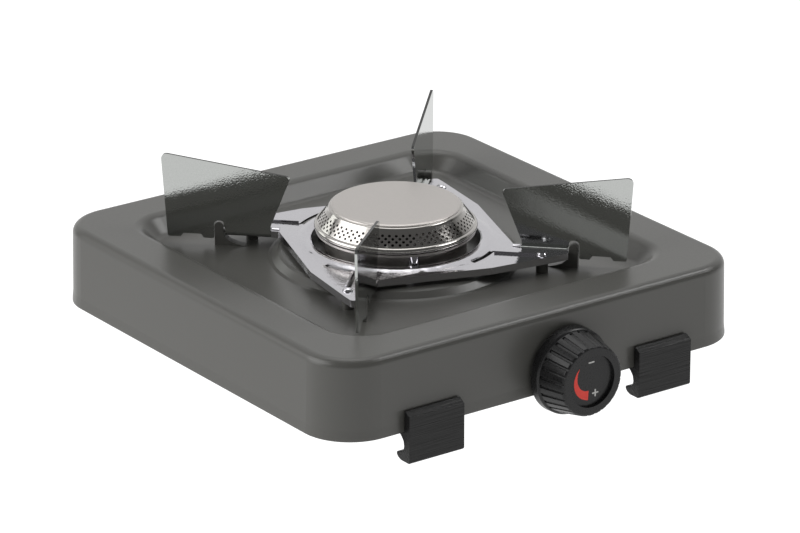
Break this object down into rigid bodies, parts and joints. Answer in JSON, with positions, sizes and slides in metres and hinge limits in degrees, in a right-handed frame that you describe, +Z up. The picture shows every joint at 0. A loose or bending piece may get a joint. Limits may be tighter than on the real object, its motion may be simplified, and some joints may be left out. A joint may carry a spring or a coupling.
{
  "type": "camping stove",
  "caption": "Square pressed-steel gas stove with a round burner in a sunken well, folding pan supports on a pinwheel plate, a front control knob and clip-on feet.",
  "frame": {"origin": "centre of the stove's bounding box in plan, on the plane the foot clips stand on", "axes": "+Z up, +X to the user's right, the control knob faces -Y and the gas inlet +Y"},
  "size_m": [0.28, 0.3304, 0.1065],
  "materials": {
    "body_paint": "satin powder coat, warm grey",
    "chrome_plate": "bright plated",
    "support_chrome": "bright plated sheet",
    "zinc_steel": "zinc plated",
    "satin_steel": "satin",
    "bright_steel": "polished",
    "aluminium": "as drawn",
    "brass": "turned",
    "black_plastic": "satin moulded",
    "clip_plastic": "extruded, fine streaks",
    "fibre": "pressed fibre"
  },
  "bodies": {
    "housing": {"stove_body": "body_paint", "pan_support_plate": "chrome_plate", "plate_spacers": "body_paint", "plate_screws": "chrome_plate", "plate_nuts": "zinc_steel", "hinge_pins": "zinc_steel", "burner_cap": "satin_steel", "burner_skirt": "bright_steel", "burner_lip_ring": "bright_steel", "burner_bowl": "satin_steel", "burner_posts": "chrome_plate", "burner_locknut": "zinc_steel", "mixing_tube": "aluminium", "mixing_tube_bracket": "zinc_steel", "gas_jet": "brass", "valve_body": "brass", "valve_washer": "zinc_steel", "valve_nut": "brass", "gas_pipe": "aluminium", "pipe_nuts": "brass", "gas_inlet_tail": "brass", "inlet_washer": "fibre", "inlet_locknut": "brass", "front_foot_clips": "clip_plastic", "rear_foot_clips": "clip_plastic"},
    "front_support": {"pan_support_front": "support_chrome"},
    "right_support": {"pan_support_right": "support_chrome"},
    "back_support": {"pan_support_back": "support_chrome"},
    "left_support": {"pan_support_left": "support_chrome"},
    "knob": {"control_knob": "black_plastic", "knob_face_disc": "black_plastic", "valve_spindle": "zinc_steel"}
  },
  "joints": [
    {"name": "front_support_fold", "type": "hinge", "parent": "housing", "child": "front_support", "pos_m": [-0.06162, -0.05858, 0.0617], "axis": [0.7071, 0.7071, 0], "range_deg": [0, 79]},
    {"name": "right_support_fold", "type": "hinge", "parent": "housing", "child": "right_support", "pos_m": [0.05858, -0.06162, 0.0617], "axis": [-0.7071, 0.7071, 0], "range_deg": [0, 79]},
    {"name": "back_support_fold", "type": "hinge", "parent": "housing", "child": "back_support", "pos_m": [0.06162, 0.05858, 0.0617], "axis": [-0.7071, -0.7071, 0], "range_deg": [0, 79]},
    {"name": "left_support_fold", "type": "hinge", "parent": "housing", "child": "left_support", "pos_m": [-0.05858, 0.06162, 0.0617], "axis": [0.7071, -0.7071, 0], "range_deg": [0, 79]},
    {"name": "knob_turn", "type": "hinge", "parent": "housing", "child": "knob", "pos_m": [0.012, -0.15, 0.0284], "axis": [0, -1, 0], "range_deg": [0, 270]}
  ]
}
